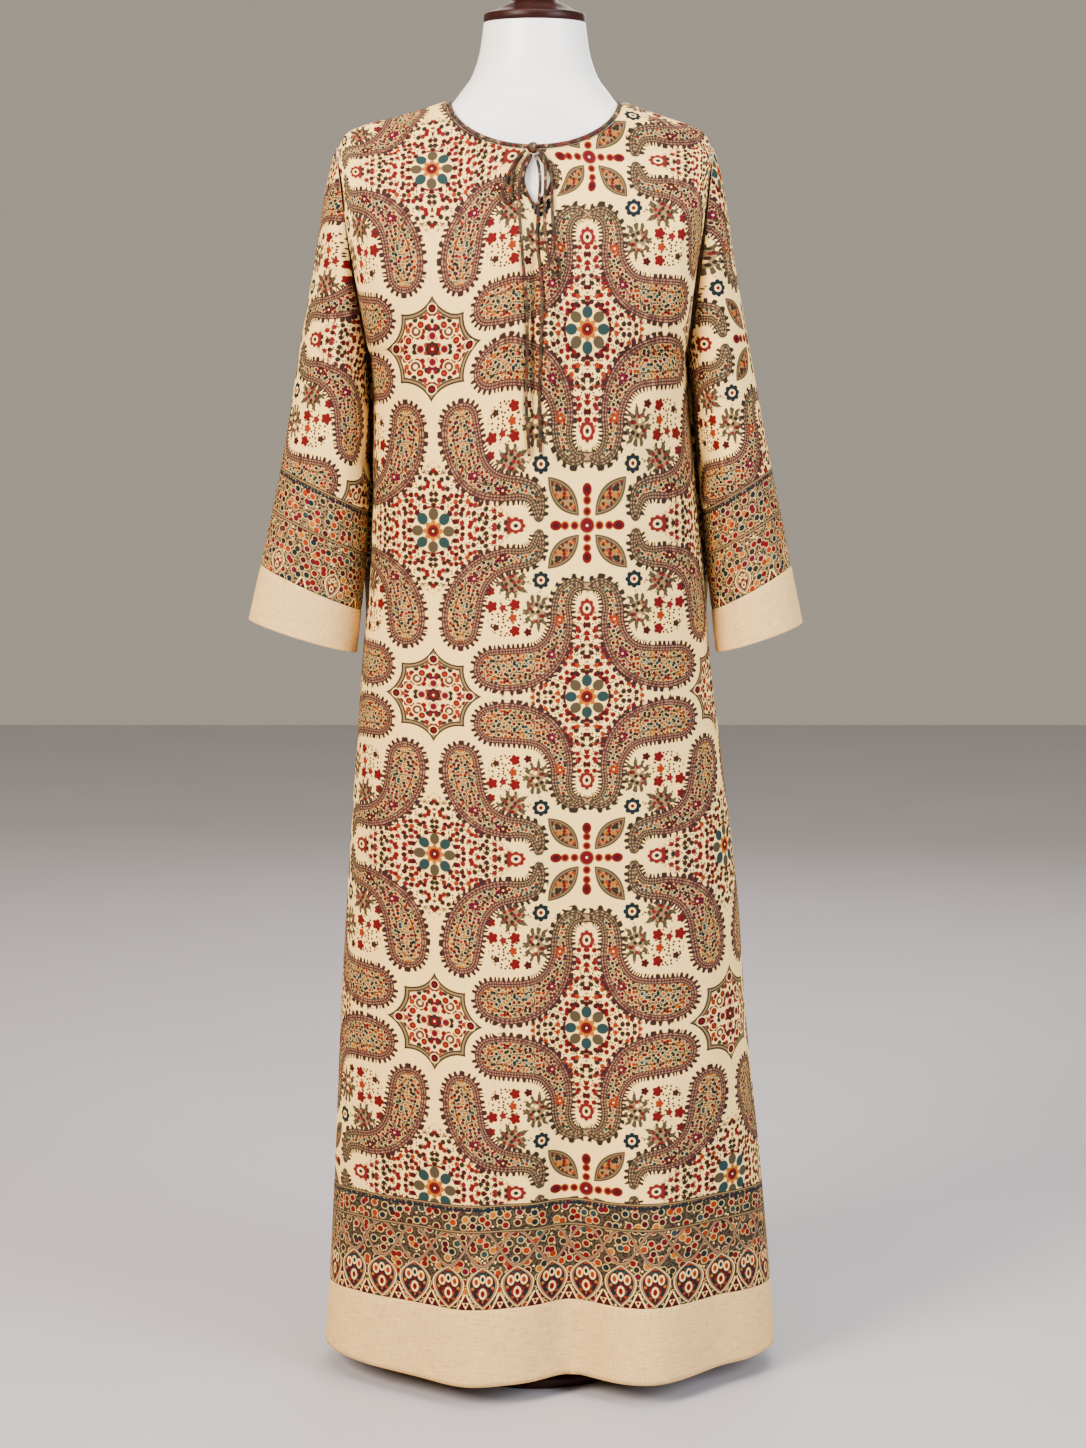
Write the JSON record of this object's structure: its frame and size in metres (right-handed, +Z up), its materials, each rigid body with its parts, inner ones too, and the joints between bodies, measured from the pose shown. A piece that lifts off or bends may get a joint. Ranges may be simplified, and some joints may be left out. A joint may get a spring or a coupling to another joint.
{
  "type": "kaftan on a dress form",
  "caption": "Long straight printed kaftan with set-in sleeves, plain cuffs and hem band, and a keyhole neck tied with cords, on a limbless dress form with a turned neck cap and round base",
  "frame": {"origin": "centre of the underside of the stand's base, on the floor", "axes": "+Z up and the longest extent; the front of the kaftan faces -Y; +X is to the right as seen from the front"},
  "size_m": [0.607, 0.3513, 1.5408],
  "materials": {
    "printed_cloth": "woven cotton with a fine paisley print on cream, slight sheen",
    "plain_cloth": "plain beige woven cotton with slubs",
    "binding_cloth": "narrow binding and cords cut from the printed cloth",
    "form_shell": "smooth satin white shell",
    "dark_wood": "turned wood, dark red-brown gloss varnish",
    "pole_metal": "dark satin lacquer"
  },
  "bodies": {
    "root": {"front_panel": "printed_cloth", "back_panel": "printed_cloth", "left_sleeve": "printed_cloth", "right_sleeve": "printed_cloth", "front_hem_band": "plain_cloth", "back_hem_band": "plain_cloth", "left_cuff": "plain_cloth", "right_cuff": "plain_cloth", "neck_binding": "binding_cloth", "keyhole_binding": "binding_cloth", "tie_knot": "binding_cloth", "tie_loop_left": "binding_cloth", "tie_tail_left": "binding_cloth", "tie_tail_right": "binding_cloth", "tie_loop_right": "binding_cloth", "form_torso": "form_shell", "form_neck_cap": "dark_wood", "form_pole": "pole_metal", "form_base": "dark_wood"}
  },
  "joints": []
}
